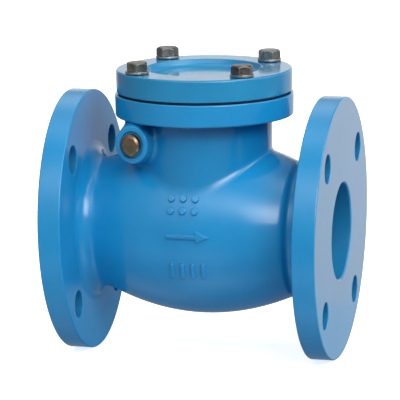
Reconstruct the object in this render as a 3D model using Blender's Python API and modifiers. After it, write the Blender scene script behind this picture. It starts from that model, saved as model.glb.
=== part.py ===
"""Flanged swing check valve, nominal bore 65 mm (2 1/2 in), iron body.

Frame: origin at the bottom, level with the lowest point of the flanges and
straight under the place where the pipe axis crosses the bonnet axis. +X runs
along the pipe towards the outlet, +Z up through the bonnet, -Y towards the
front with the flow arrow. The pieces are drawn round the pipe axis and then
lifted by AXIS_HEIGHT. Sizes are in millimetres; MM turns them into metres.

A cast body carries two drilled flanges, a round bonnet neck and a cross
housing for the hinge pin. Inside, a disc hangs on a swinging arm and shuts
against a bronze seat ring. A bolted cover closes the top.
"""
import math

import bmesh
import bpy
from mathutils import Matrix, Vector

MM = 0.001
GAP = 0.3                      # working gap between neighbouring pieces

# ---- pipe flanges
FACE_TO_FACE = 215.9
HALF = FACE_TO_FACE / 2
FLANGE_R = 88.9
AXIS_HEIGHT = FLANGE_R         # pipe axis above the origin
FLANGE_T = 18.0
FLANGE_EDGE = 1.0
BACK = HALF - FLANGE_T         # back face of a flange, from the middle
BORE_R = 32.5
BOLT_CIRCLE_R = 69.85
BOLT_HOLE_R = 9.525
FLANGE_HOLES = 4

# ---- belly (disc chamber) and the necks beside it
BELLY_R = 60.0                 # greatest outer radius, at x = 0
BELLY_SAG = 0.00275            # radius lost per mm squared from the middle
BELLY_START = -60.0
BELLY_START_R = BELLY_R - BELLY_SAG * BELLY_START ** 2
BELLY_STATIONS = 8
BELLY_PITCH = 15.0
SHOULDER_X = 71.0
SHOULDER_LEN = 9.0             # from SHOULDER_X to the first belly station
NECK_R_IN = 44.6               # neck radius at the foot of the inlet fillet
NECK_SLOPE_IN = 0.10           # radius gained per mm at that foot
NECK_STATIONS = 4
FILLET_R_TOP = 56.0            # where the inlet fillet leaves the flange back
FILLET_LEN = 12.0
FILLET_FOOT_X = -BACK + FILLET_LEN
NECK_R_OUT = 42.5
FILLET_R_OUT = 9.5
FILLET_STEPS_OUT = 4
FILLET_STEPS_IN = 5

# ---- waterway
WALL = 6.5
CHAMBER_START = -50.0          # wall that holds the seat ring
CHAMBER_START_R = 44.0
CHAMBER_END = 62.0
CHAMBER_STEPS = 6
TAPER_IN = 14.0                # length of the cone at the inlet end
TAPER_OUT = 15.0               # length of the cone down to the outlet bore
OVERRUN = 5.0                  # how far most cutters pass the metal

# ---- bonnet and cover
BONNET_NECK_R = 51.2
BONNET_FORM_Z0 = 12.0          # foot of the neck form, buried in the belly
BONNET_BORE_R = 45.5
BONNET_BORE_Z0 = 5.0
BONNET_FLANGE_R = 67.4
BONNET_EDGE = 0.8
BONNET_Z0 = 75.6
BONNET_Z1 = 90.0
GASKET_T = 0.8
GASKET_R = 65.0
GASKET_Z0 = BONNET_Z1 + GAP
GASKET_Z1 = GASKET_Z0 + GASKET_T
COVER_R = 66.2
COVER_Z0 = GASKET_Z1 + GAP
COVER_Z1 = 105.7
COVER_EDGE_TOP = 1.2
COVER_EDGE_FOOT = 0.8
COVER_DISH_R = 44.0
COVER_DISH = 4.2
COVER_SPIGOT_R = 44.8
COVER_SPIGOT = 3.0
GASKET_R_IN = COVER_SPIGOT_R + 1.2

# ---- cover bolts, M10
COVER_BOLT_CIRCLE_R = 56.8
BOLT_R = 5.0
BOLT_LEN = 30.0
BOLT_HEAD_AF = 15.0            # AF: across flats
BOLT_HEAD_H = 5.4
BOLT_HEAD_TURNS = (0, 18, 47, 31)   # degrees, one per bolt
BOLT_CLEAR_R = 5.6
BOLT_TAP_R = 5.3
WASHER_R = 8.9
WASHER_T = 1.6
WASHER_EDGE = 0.3
WASHER_Z0 = COVER_Z1 + GAP
HEAD_Z = WASHER_Z0 + WASHER_T + GAP       # underside of a bolt head
COVER_BOLTS = [(COVER_BOLT_CIRCLE_R * math.cos(math.radians(a)),
                COVER_BOLT_CIRCLE_R * math.sin(math.radians(a)), 0)
               for a in (45, 135, 225, 315)]

# ---- hinge
HINGE_X = -41.0
HINGE_Z = 62.0
HINGE_AT = (HINGE_X, 0, HINGE_Z)
HOUSING_R = 16.0
HOUSING_END_R = 12.2
HOUSING_Y = 57.0
POCKET_R = 12.0
POCKET_Y = 24.0
PIN_R = 5.0
PIN_Y = 45.0
BUSH_R = 6.5
BUSH_Y = 44.0
PLUG_Y0 = PIN_Y + 1.0
PLUG_Y1 = HOUSING_Y + 2.0
PLUG_HEAD_Y = HOUSING_Y + 0.4
PLUG_R = 7.15
PLUG_HEAD = 5.0
PLUG_HEAD_EDGE = 1.4
EDGE = 0.8                     # chamfer on turned bars
HUB_R = 9.5
HUB_Y = 21.0
EYE_R = 14.5
EYE_BORE_R = 6.7
EYE_T = 9.0
EYE_EDGE = 1.0
WEB_T = EYE_T - 0.8
WEB_W = 17.0                   # at the foot
WEB_FLARE = 1.55               # top width over foot width
WEB_Z0 = 6.0
STOP_ANGLE = 30.0              # stop lug above +X, disc shut
STOP_SIZE = (9.0, 14.0, 5.2)
STOP_REACH = 11.5              # hinge axis to the middle of the lug

# ---- seat and disc
SEAT_FACE_X = -49.0
SEAT_R_OUT = 37.1
SEAT_R_IN = 32.0
SEAT_LEN = 12.7
SEAT_EDGE = 0.6
SEAT_BACK_X = SEAT_FACE_X - SEAT_LEN
DISC_R = 38.5
DISC_T = 7.0
FACING_R_IN = 30.0
FACING_R_OUT = 37.6
FACING_T = 2.8
FACING_EDGE = 0.4
STEM_R = 6.0
STEM_END_X = -9.0
NUT_AF = 18.0
NUT_H = 10.0
DISC_WASHER_R = 12.0

# stack along the pipe axis, from the seat towards the outlet
FACING_X0 = SEAT_FACE_X + GAP
PLATE_X0 = FACING_X0 + FACING_T + GAP
PLATE_X1 = PLATE_X0 + DISC_T
BOSS_X1 = PLATE_X1 + 1.7
EYE_X0 = BOSS_X1 + 0.4
EYE_X1 = EYE_X0 + EYE_T
DISC_WASHER_X0 = EYE_X1 + GAP
NUT_X0 = DISC_WASHER_X0 + WASHER_T + GAP
NUT_X1 = NUT_X0 + NUT_H
SPLIT_X = NUT_X1 + 2.4

# ---- split pin
SPLIT_HOLE_R = 1.5
WIRE_R = 0.55
LEG_Y = 0.62                   # half the pitch of the legs
LEG_BEND_R = 2.6
LEG_BEND_ANGLE = 78.0
LEG_BEND_STEPS = 4
LEG_BEND_Z = -STEM_R - 1.6     # where the legs start to bend
LEG_TOP_Z = STEM_R + 1.0
LOOP_R = 2.0
LOOP_Z = STEM_R + 3.6
LOOP_START = -50.0             # degrees
LOOP_SWEEP = 280.0
LOOP_STEPS = 12

# ---- raised cast marks: outlines as (x, z) points
MARK_LIFT = 62.0               # mark face from the pipe axis
MARK_DEPTH = 7.0
ARROW = [(-15, -1.0), (8, -1.0), (8, -3.4), (18, 0), (8, 3.4), (8, 1.0),
         (-15, 1.0)]
ARROW_TILT = 2.4
STUD_R = 2.0
STUD_XS = (-7.5, 0.0, 7.5)
STUD_ZS = (-3.2, 3.2)
STUD_TILT = 21.0
BAR_W = 2.6
BAR_H = 10.0
BAR_XS = (-10.5, -3.5, 3.5, 10.5)
BAR_TILT = -19.5

# ---- segments round a turned piece
STEPS_BODY = 40
STEPS_MID = 32
STEPS_SMALL = 24
STEPS_BOLT = 20
STEPS_FLANGE_HOLE = 18
STEPS_SPLIT_HOLE = 16
STEPS_BOLT_HOLE = 14

# ---- colours, linear RGB
BLUE = (0.012, 0.240, 0.560)
STEEL = (0.330, 0.310, 0.250)
BRASS = (0.34, 0.22, 0.14)
BRONZE = (0.520, 0.330, 0.150)
IRON = (0.090, 0.085, 0.080)
STAINLESS = (0.560, 0.560, 0.550)
FIBRE = (0.030, 0.033, 0.038)

# ------------------------------------------------------------------ scene
for old in list(bpy.data.objects):
    bpy.data.objects.remove(old, do_unlink=True)

parts = bpy.data.collections.new("swing_check_valve")
cutters = bpy.data.collections.new("cutters")
bpy.context.scene.collection.children.link(parts)
bpy.context.scene.collection.children.link(cutters)


# -------------------------------------------------------------- materials
def material(name, colour, roughness, metallic):
    mat = bpy.data.materials.new(name)
    mat.use_nodes = True
    shader = mat.node_tree.nodes["Principled BSDF"]
    shader.inputs["Base Color"].default_value = (*colour, 1.0)
    shader.inputs["Roughness"].default_value = roughness
    shader.inputs["Metallic"].default_value = metallic
    return mat


def metal(name, colour, roughness):
    return material(name, colour, roughness, metallic=1.0)


def enamel(name):
    return material(name, BLUE, roughness=0.28, metallic=0.0)


def rough_iron(name, roughness):
    return material(name, IRON, roughness, metallic=0.6)


def gasket_fibre():
    return material("gasket_fibre", FIBRE, roughness=0.85, metallic=0.0)


# ------------------------------------------------------------- shape tools
# Rotations that lay local +Z along the named axis.
AXIS_ROTATION = {"X": (0, math.pi / 2, 0),
                 "Y": (-math.pi / 2, 0, 0),
                 "Z": (0, 0, 0)}


def mesh_object(name, bm, coll, axis="Z", at=(0, 0, 0)):
    """Put a bmesh into a new object that lies along an axis."""
    mesh = bpy.data.meshes.new(name)
    bm.to_mesh(mesh)
    bm.free()
    obj = bpy.data.objects.new(name, mesh)
    coll.objects.link(obj)
    obj.location = Vector(at) * MM
    obj.rotation_euler = AXIS_ROTATION[axis]
    return obj


def turned(name, profile, axis="Z", at=(0, 0, 0), steps=STEPS_SMALL,
           closed=False, coll=parts):
    """A turned solid. profile holds (radius, height) pairs in mm and runs
    down the outer side from the top; closed joins the last to the first."""
    bm = bmesh.new()
    verts = [bm.verts.new((r * MM, 0, h * MM)) for r, h in profile]
    for a, b in zip(verts, verts[1:]):
        bm.edges.new((a, b))
    if closed:
        bm.edges.new((verts[-1], verts[0]))
    obj = mesh_object(name, bm, coll, axis, at)
    screw = obj.modifiers.new("turn", "SCREW")
    screw.steps = screw.render_steps = steps
    screw.use_merge_vertices = True
    screw.merge_threshold = 0.00001
    screw.use_smooth_shade = True
    return obj


def outer_side(r, h0, h1, chamfer):
    """The outer side of a bar from h1 down to h0, chamfered if asked."""
    if chamfer:
        return [(r - chamfer, h1), (r, h1 - chamfer),
                (r, h0 + chamfer), (r - chamfer, h0)]
    return [(r, h1), (r, h0)]


def rod(name, r, h0, h1, axis="Z", at=(0, 0, 0), steps=STEPS_SMALL,
        coll=cutters, chamfer=0.0):
    """A round bar between two heights on its axis."""
    profile = [(0, h1), *outer_side(r, h0, h1, chamfer), (0, h0)]
    return turned(name, profile, axis, at, steps, coll=coll)


def ring(name, r_out, r_in, h0, h1, axis="Z", at=(0, 0, 0),
         steps=STEPS_SMALL, chamfer=0.0):
    """A flat or long ring, its outer edges chamfered if asked."""
    profile = [(r_in, h1), *outer_side(r_out, h0, h1, chamfer), (r_in, h0)]
    return turned(name, profile, axis, at, steps, closed=True)


def hexagon(name, across, h0, h1, axis="Z", at=(0, 0, 0), coll=cutters,
            turn=0.0):
    """A hexagon prism, turned about its own axis by turn degrees."""
    bm = bmesh.new()
    r = across / math.sqrt(3) * MM
    bmesh.ops.create_cone(bm, cap_ends=True, segments=6, radius1=r,
                          radius2=r, depth=(h1 - h0) * MM)
    bmesh.ops.rotate(bm, verts=bm.verts, cent=(0, 0, 0),
                     matrix=Matrix.Rotation(math.radians(turn), 3, "Z"))
    bmesh.ops.translate(bm, verts=bm.verts, vec=(0, 0, (h0 + h1) / 2 * MM))
    return mesh_object(name, bm, coll, axis, at)


def block(name, size, centre, at=(0, 0, 0), flare=1.0):
    """A box; flare scales the y of its upper corners."""
    bm = bmesh.new()
    bmesh.ops.create_cube(bm, size=1.0)
    for v in bm.verts:
        v.co = Vector([v.co[i] * size[i] * MM for i in range(3)])
        if v.co.z > 0:
            v.co.y *= flare
        v.co += Vector(centre) * MM
    return mesh_object(name, bm, cutters, at=at)


def boolean(obj, how, *others):
    for other in others:
        mod = obj.modifiers.new(f"{how.lower()}_{other.name}", "BOOLEAN")
        mod.operation = how
        mod.solver = "EXACT"
        mod.object = other


def cut(obj, *others):
    boolean(obj, "DIFFERENCE", *others)


def join(obj, *others):
    boolean(obj, "UNION", *others)


def cut_bolt_holes(obj, name, r, z0, z1):
    """One hole for each cover bolt."""
    for k, at in enumerate(COVER_BOLTS, 1):
        cut(obj, rod(f"{name}_hole_cut_{k}", r, z0, z1, at=at,
                     steps=STEPS_BOLT_HOLE))


def finish(obj, mat):
    """Give a piece its material; a mesh with faces is also smooth shaded."""
    obj.data.materials.append(mat)
    if obj.data.polygons:
        obj.data.shade_smooth()
        obj.data.set_sharp_from_angle(angle=math.radians(30))
    return obj


# -------------------------------------------------------------------- body
def belly_radius(x):
    """Outer radius of the belly and of the inlet neck that runs into it."""
    if x >= BELLY_START:
        return BELLY_R - BELLY_SAG * x * x
    # cubic blend from the foot of the inlet fillet to the belly
    span = BELLY_START - FILLET_FOOT_X
    t = (x - FILLET_FOOT_X) / span
    rise_foot = NECK_SLOPE_IN * span
    rise_belly = -2 * BELLY_SAG * BELLY_START * span
    return ((2 * t ** 3 - 3 * t ** 2 + 1) * NECK_R_IN
            + (t ** 3 - 2 * t ** 2 + t) * rise_foot
            + (3 * t ** 2 - 2 * t ** 3) * BELLY_START_R
            + (t ** 3 - t ** 2) * rise_belly)


def body_outer():
    """Half outline of the casting as (radius, x), outlet face first."""
    e = FLANGE_EDGE
    points = [(0, HALF), *outer_side(FLANGE_R, BACK, HALF, e)]
    # outlet fillet from the flange back down to the short neck
    for i in range(FILLET_STEPS_OUT + 1):
        a = math.pi / 2 * i / FILLET_STEPS_OUT
        points.append((NECK_R_OUT + FILLET_R_OUT * (1 - math.sin(a)),
                       BACK - FILLET_R_OUT * (1 - math.cos(a))))
    # end wall of the belly up to its rounded shoulder
    shoulder_r = belly_radius(SHOULDER_X)
    points += [(NECK_R_OUT, SHOULDER_X + 5.5),
               (NECK_R_OUT + 1.2, SHOULDER_X + 3.2),
               (shoulder_r - 1.0, SHOULDER_X + 1.6),
               (shoulder_r, SHOULDER_X - 0.6)]
    for i in range(BELLY_STATIONS):
        x = SHOULDER_X - SHOULDER_LEN - BELLY_PITCH * i
        points.append((belly_radius(x), x))
    for i in range(NECK_STATIONS):
        x = BELLY_START + (FILLET_FOOT_X - BELLY_START) * i / NECK_STATIONS
        points.append((belly_radius(x), x))
    # inlet fillet up to the flange back
    for i in range(FILLET_STEPS_IN + 1):
        a = math.pi / 2 * i / FILLET_STEPS_IN
        points.append((FILLET_R_TOP - (FILLET_R_TOP - NECK_R_IN) * math.cos(a),
                       FILLET_FOOT_X - FILLET_LEN * math.sin(a)))
    return points + [*outer_side(FLANGE_R, -HALF, -BACK, e), (0, -HALF)]


def waterway():
    """Half outline of the passage as (radius, x), outlet end first."""
    end = HALF + OVERRUN
    points = [(0, end), (BORE_R, end), (BORE_R, CHAMBER_END + TAPER_OUT)]
    for i in range(CHAMBER_STEPS + 1):
        x = CHAMBER_END + (CHAMBER_START + TAPER_IN - CHAMBER_END) * i / CHAMBER_STEPS
        points.append((belly_radius(x) - WALL, x))
    return points + [(CHAMBER_START_R, CHAMBER_START),
                     (SEAT_R_OUT + GAP, CHAMBER_START),
                     (SEAT_R_OUT + GAP, SEAT_BACK_X - GAP),
                     (BORE_R, SEAT_BACK_X - GAP), (BORE_R, -end), (0, -end)]


def bonnet_neck_form():
    profile = [(0, BONNET_Z1),
               *outer_side(BONNET_FLANGE_R, BONNET_Z0, BONNET_Z1, BONNET_EDGE),
               (BONNET_NECK_R + 3, BONNET_Z0),
               (BONNET_NECK_R + 0.9, BONNET_Z0 - 0.9),
               (BONNET_NECK_R, BONNET_Z0 - 3),
               (BONNET_NECK_R, BONNET_FORM_Z0), (0, BONNET_FORM_Z0)]
    return turned("bonnet_neck_form", profile, steps=STEPS_BODY, coll=cutters)


def hinge_housing_form():
    """Cross housing, the same at both ends: (radius, y) of the +Y half."""
    half = [(0, HOUSING_Y), (HOUSING_END_R - 1, HOUSING_Y),
            (HOUSING_END_R, HOUSING_Y - 1), (HOUSING_R - 0.6, 40),
            (HOUSING_R, 28)]
    profile = half + [(r, -y) for r, y in reversed(half)]
    return turned("hinge_housing_form", profile, "Y", HINGE_AT, STEPS_MID,
                  coll=cutters)


def marks(name, shapes, tilt):
    """Raised marks on the front of the belly, tilted to its curve by tilt
    degrees up from the pipe axis. Each shape is an (x, z) outline."""
    bm = bmesh.new()
    for corners in shapes:
        front, back = ([bm.verts.new((x * MM, y * MM, z * MM)) for x, z in corners]
                       for y in (-MARK_LIFT, MARK_DEPTH - MARK_LIFT))
        bm.faces.new(front)
        bm.faces.new(back[::-1])
        for i in range(len(corners)):
            j = (i + 1) % len(corners)
            bm.faces.new((front[j], front[i], back[i], back[j]))
    bmesh.ops.recalc_face_normals(bm, faces=bm.faces)
    bmesh.ops.rotate(bm, verts=bm.verts, cent=(0, 0, 0),
                     matrix=Matrix.Rotation(math.radians(-tilt), 3, "X"))
    return mesh_object(name, bm, cutters)


def bar(x):
    w, h = BAR_W / 2, BAR_H / 2
    return [(x - w, -h), (x + w, -h), (x + w, h), (x - w, h)]


def stud(x, z):
    return [(x + STUD_R * math.cos(math.pi * i / 4),
             z + STUD_R * math.sin(math.pi * i / 4)) for i in range(8)]


def cut_flange_holes(body):
    for end, side in (("inlet", -1), ("outlet", 1)):
        middle = side * (HALF - FLANGE_T / 2)
        for k in range(FLANGE_HOLES):
            a = 2 * math.pi * (k + 0.5) / FLANGE_HOLES
            at = (0, BOLT_CIRCLE_R * math.cos(a), BOLT_CIRCLE_R * math.sin(a))
            cut(body, rod(f"{end}_hole_cut_{k + 1}", BOLT_HOLE_R,
                          middle - FLANGE_T, middle + FLANGE_T, "X", at,
                          STEPS_FLANGE_HOLE))


def build_body():
    body = turned("body", body_outer(), "X", steps=STEPS_BODY)
    studs = [stud(x, z) for z in STUD_ZS for x in STUD_XS]
    join(body, bonnet_neck_form(), hinge_housing_form(),
         marks("flow_arrow_form", [ARROW], ARROW_TILT),
         marks("upper_mark_form", studs, STUD_TILT),
         marks("lower_mark_form", [bar(x) for x in BAR_XS], BAR_TILT))
    pin_bore_y = HOUSING_Y + 8
    cut(body,
        turned("waterway_cut", waterway(), "X", steps=STEPS_BODY, coll=cutters),
        rod("bonnet_bore_cut", BONNET_BORE_R, BONNET_BORE_Z0,
            BONNET_Z1 + OVERRUN, steps=STEPS_BODY),
        rod("hinge_pocket_cut", POCKET_R, -POCKET_Y, POCKET_Y, "Y", HINGE_AT),
        rod("pin_bore_cut", BUSH_R + GAP, -pin_bore_y, pin_bore_y, "Y", HINGE_AT))
    cut_bolt_holes(body, "tapped", BOLT_TAP_R, HEAD_Z - BOLT_LEN - 0.6,
                   BONNET_Z1 + 4)
    cut_flange_holes(body)
    finish(body, enamel("blue_enamel"))


def build_seat_ring():
    e = SEAT_EDGE
    profile = [(SEAT_R_IN + e, SEAT_FACE_X), (SEAT_R_OUT - e, SEAT_FACE_X),
               (SEAT_R_OUT, SEAT_FACE_X - e), (SEAT_R_OUT, SEAT_BACK_X),
               (SEAT_R_IN, SEAT_BACK_X), (SEAT_R_IN, SEAT_FACE_X - e)]
    seat = turned("seat_ring", profile, "X", steps=STEPS_BODY, closed=True)
    finish(seat, metal("seat_bronze", BRONZE, roughness=0.35))


# ------------------------------------------------------- cover and gasket
def build_cover():
    dish_z = COVER_Z1 - COVER_DISH
    spigot_z = COVER_Z0 - COVER_SPIGOT
    cover = turned("cover", [
        # dished top
        (0, dish_z), (COVER_DISH_R - 5, dish_z),
        (COVER_DISH_R - 1.6, dish_z + 1.2),
        (COVER_DISH_R, COVER_Z1 - 0.8), (COVER_DISH_R + 0.8, COVER_Z1),
        # rim
        (COVER_R - COVER_EDGE_TOP, COVER_Z1),
        (COVER_R, COVER_Z1 - COVER_EDGE_TOP),
        (COVER_R, COVER_Z0 + COVER_EDGE_FOOT),
        (COVER_R - COVER_EDGE_FOOT, COVER_Z0),
        # spigot, sloping back up on its inner side
        (COVER_SPIGOT_R, COVER_Z0), (COVER_SPIGOT_R, spigot_z),
        (36, spigot_z), (30, COVER_Z0), (0, COVER_Z0)], steps=STEPS_BODY)
    cut_bolt_holes(cover, "cover", BOLT_CLEAR_R, COVER_Z0 - 8, COVER_Z1 + 8)
    finish(cover, enamel("cover_enamel"))


def build_gasket():
    gasket = ring("cover_gasket", GASKET_R, GASKET_R_IN, GASKET_Z0, GASKET_Z1,
                  steps=STEPS_BODY)
    cut_bolt_holes(gasket, "gasket", BOLT_CLEAR_R, GASKET_Z0 - 4, GASKET_Z0 + 6)
    finish(gasket, gasket_fibre())


# ------------------------------------------------------------- cover bolts
def bolt_head_form(k, at, turn):
    """Hexagon head with its upper corners turned off."""
    top = HEAD_Z + BOLT_HEAD_H
    head = hexagon(f"bolt_head_form_{k}", BOLT_HEAD_AF, HEAD_Z, top, at=at,
                   turn=turn)
    crown = turned(f"bolt_crown_form_{k}", [
        (0, top - 0.2), (BOLT_HEAD_AF / 2 - 0.8, top - 0.2),
        (10.2, top - 2.0), (10.2, HEAD_Z - 1), (0, HEAD_Z - 1)],
        at=at, coll=cutters)
    boolean(head, "INTERSECT", crown)
    return head


def build_cover_bolts():
    steel = metal("bolt_steel", STEEL, roughness=0.42)
    for k, (at, turn) in enumerate(zip(COVER_BOLTS, BOLT_HEAD_TURNS), 1):
        bolt = rod(f"cover_bolt_{k}", BOLT_R, HEAD_Z - BOLT_LEN, HEAD_Z + 3,
                   at=at, steps=STEPS_BOLT, coll=parts, chamfer=EDGE)
        join(bolt, bolt_head_form(k, at, turn))
        finish(bolt, steel)
        washer = ring(f"cover_washer_{k}", WASHER_R, BOLT_R + GAP + 0.2,
                      WASHER_Z0, WASHER_Z0 + WASHER_T, at=at,
                      steps=STEPS_BOLT, chamfer=WASHER_EDGE)
        finish(washer, metal(f"washer_steel_{k}", STEEL, roughness=0.38))


# ------------------------------------------------------------------- hinge
def build_hinge_pin():
    pin = rod("hinge_pin", PIN_R, -PIN_Y, PIN_Y, "Y", HINGE_AT, STEPS_MID,
              coll=parts, chamfer=EDGE)
    finish(pin, metal("pin_stainless", STAINLESS, roughness=0.22))


def build_bush(name, side, mat):
    low, high = sorted((side * (POCKET_Y + GAP), side * BUSH_Y))
    finish(ring(f"hinge_bush_{name}", BUSH_R, PIN_R + GAP, low, high, "Y",
                HINGE_AT, STEPS_MID), mat)


def build_plug(name, side, mat):
    low, high = sorted((side * PLUG_Y0, side * PLUG_Y1))
    plug = rod(f"pin_plug_{name}", BUSH_R, low, high, "Y", HINGE_AT,
               coll=parts, chamfer=EDGE)
    profile = [(0, PLUG_HEAD), (PLUG_R - PLUG_HEAD_EDGE, PLUG_HEAD),
               (PLUG_R, PLUG_HEAD - PLUG_HEAD_EDGE), (PLUG_R, 0), (0, 0)]
    if side < 0:
        profile = [(r, -h) for r, h in reversed(profile)]
    head = turned(f"plug_head_form_{name}", profile, "Y",
                  (HINGE_X, side * PLUG_HEAD_Y, HINGE_Z), STEPS_MID,
                  coll=cutters)
    join(plug, head)
    finish(plug, mat)


def build_bushes_and_plugs():
    brass = metal("plug_brass", BRASS, roughness=0.36)
    bronze = metal("bush_bronze", BRONZE, roughness=0.40)
    for name, side in (("front", -1), ("back", 1)):
        build_bush(name, side, bronze)
        build_plug(name, side, brass)


def build_hinge_arm():
    """Hub on the pin, web down to the eye round the stem, and stop lug."""
    arm = rod("hinge_arm", HUB_R, -HUB_Y, HUB_Y, "Y", HINGE_AT, STEPS_MID,
              coll=parts, chamfer=EDGE)
    eye = rod("arm_eye_form", EYE_R, EYE_X0, EYE_X1, "X", steps=STEPS_MID,
              chamfer=EYE_EDGE)
    web = block("arm_web_form", (WEB_T, WEB_W, HINGE_Z - WEB_Z0),
                ((EYE_X0 + EYE_X1) / 2 - 0.1, 0, (HINGE_Z + WEB_Z0) / 2),
                flare=WEB_FLARE)
    lug = block("arm_stop_form", STOP_SIZE, (STOP_REACH, 0, 0), at=HINGE_AT)
    lug.rotation_euler = (0, -math.radians(STOP_ANGLE), 0)
    join(arm, eye, web, lug)
    cut(arm,
        rod("arm_pin_cut", PIN_R + GAP, -HUB_Y - OVERRUN, HUB_Y + OVERRUN,
            "Y", HINGE_AT, STEPS_MID),
        rod("arm_eye_cut", EYE_BORE_R, EYE_X0 - 8, EYE_X1 + 8, "X",
            steps=STEPS_MID))
    finish(arm, rough_iron("arm_iron", roughness=0.60))


# -------------------------------------------------------------------- disc
def build_disc():
    face_x = FACING_X0 + 0.8
    disc = turned("disc", [
        # stem and boss
        (0, STEM_END_X), (STEM_R - EDGE, STEM_END_X),
        (STEM_R, STEM_END_X - EDGE), (STEM_R, BOSS_X1),
        (11.0, BOSS_X1), (12.0, PLATE_X1 + 0.4),
        # plate
        (DISC_R - 9, PLATE_X1), (DISC_R - 1.2, PLATE_X1 - 1.4),
        (DISC_R, PLATE_X1 - 2.6), (DISC_R, PLATE_X0 + EDGE),
        (DISC_R - EDGE, PLATE_X0),
        # middle, inside the facing ring
        (FACING_R_IN - GAP, PLATE_X0), (FACING_R_IN - GAP, face_x),
        (0, face_x)], "X", steps=STEPS_MID)
    cut(disc, rod("split_pin_hole_cut", SPLIT_HOLE_R, -STEM_R - 4, STEM_R + 4,
                  at=(SPLIT_X, 0, 0), steps=STEPS_SPLIT_HOLE))
    return finish(disc, rough_iron("disc_iron", roughness=0.55))


def build_facing_ring():
    facing = ring("disc_facing_ring", FACING_R_OUT, FACING_R_IN, FACING_X0,
                  FACING_X0 + FACING_T, "X", steps=STEPS_MID,
                  chamfer=FACING_EDGE)
    return finish(facing, metal("facing_bronze", BRONZE, roughness=0.30))


def build_disc_washer():
    washer = ring("disc_washer", DISC_WASHER_R, STEM_R + GAP, DISC_WASHER_X0,
                  DISC_WASHER_X0 + WASHER_T, "X", chamfer=WASHER_EDGE)
    return finish(washer, metal("disc_washer_steel", STAINLESS, roughness=0.30))


def build_disc_nut():
    """Hexagon nut with the corners turned off at both ends."""
    nut = hexagon("disc_nut", NUT_AF, NUT_X0, NUT_X1, "X", coll=parts)
    crown = turned("nut_crown_form", [
        (0, NUT_X1 + 0.02), (8.6, NUT_X1 + 0.02), (10.8, NUT_X1 - 1.3),
        (10.8, NUT_X0 + 1.3), (8.6, NUT_X0 - 0.02), (0, NUT_X0 - 0.02)],
        "X", coll=cutters)
    boolean(nut, "INTERSECT", crown)
    cut(nut, rod("nut_bore_cut", STEM_R + GAP, NUT_X0 - OVERRUN,
                 NUT_X1 + OVERRUN, "X", steps=STEPS_MID))
    return finish(nut, metal("nut_bronze", BRONZE, roughness=0.38))


def split_pin_path():
    """(y, z) points of one wire: up one leg, round the eye, down the other,
    with the legs bent apart below the stem."""
    leg = []                                  # +Y leg, from the bend upwards
    for i in range(LEG_BEND_STEPS + 1):
        a = math.radians(LEG_BEND_ANGLE) * (1 - i / LEG_BEND_STEPS)
        leg.append((LEG_Y + LEG_BEND_R * (1 - math.cos(a)),
                    LEG_BEND_Z - LEG_BEND_R * math.sin(a)))
    bend_y, bend_z = leg[0]
    leg = [(bend_y + 3.0, bend_z - 0.4), *leg, (LEG_Y, LEG_TOP_Z)]
    loop = []
    for i in range(LOOP_STEPS + 1):
        a = math.radians(LOOP_START + LOOP_SWEEP * i / LOOP_STEPS)
        loop.append((LOOP_R * math.cos(a), LOOP_Z + LOOP_R * math.sin(a)))
    return leg + loop + [(-y, z) for y, z in reversed(leg)]


def build_split_pin():
    path = split_pin_path()
    curve = bpy.data.curves.new("disc_split_pin", "CURVE")
    curve.dimensions = "3D"
    curve.bevel_depth = WIRE_R * MM
    curve.bevel_resolution = 2
    curve.use_fill_caps = True
    spline = curve.splines.new("POLY")
    spline.points.add(len(path) - 1)
    for point, (y, z) in zip(spline.points, path):
        point.co = (0, y * MM, z * MM, 1)
    curve.materials.append(metal("split_pin_steel", STAINLESS, roughness=0.35))
    pin = bpy.data.objects.new("disc_split_pin", curve)
    parts.objects.link(pin)
    pin.location = (SPLIT_X * MM, 0, 0)
    return pin


def build_disc_group():
    """The disc and all that is fixed to it, under one empty."""
    pivot = bpy.data.objects.new("disc_axis", None)
    parts.objects.link(pivot)
    for build in (build_disc, build_facing_ring, build_disc_washer,
                  build_disc_nut, build_split_pin):
        build().parent = pivot


# ---------------------------------------------------------------- assembly
build_body()
build_seat_ring()
build_cover()
build_gasket()
build_cover_bolts()
build_hinge_pin()
build_bushes_and_plugs()
build_hinge_arm()
build_disc_group()

for form in cutters.objects:
    form.hide_render = True
    form.display_type = "WIRE"

for obj in bpy.data.objects:
    if obj.parent is None:
        obj.location.z += AXIS_HEIGHT * MM
bpy.context.view_layer.update()
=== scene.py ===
"""Looks for a flanged swing check valve: fine castings, fasteners and finishes
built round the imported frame, on a plain pale floor."""
import math

import bmesh
import bpy
import numpy as np
from mathutils import Matrix, Vector


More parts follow.
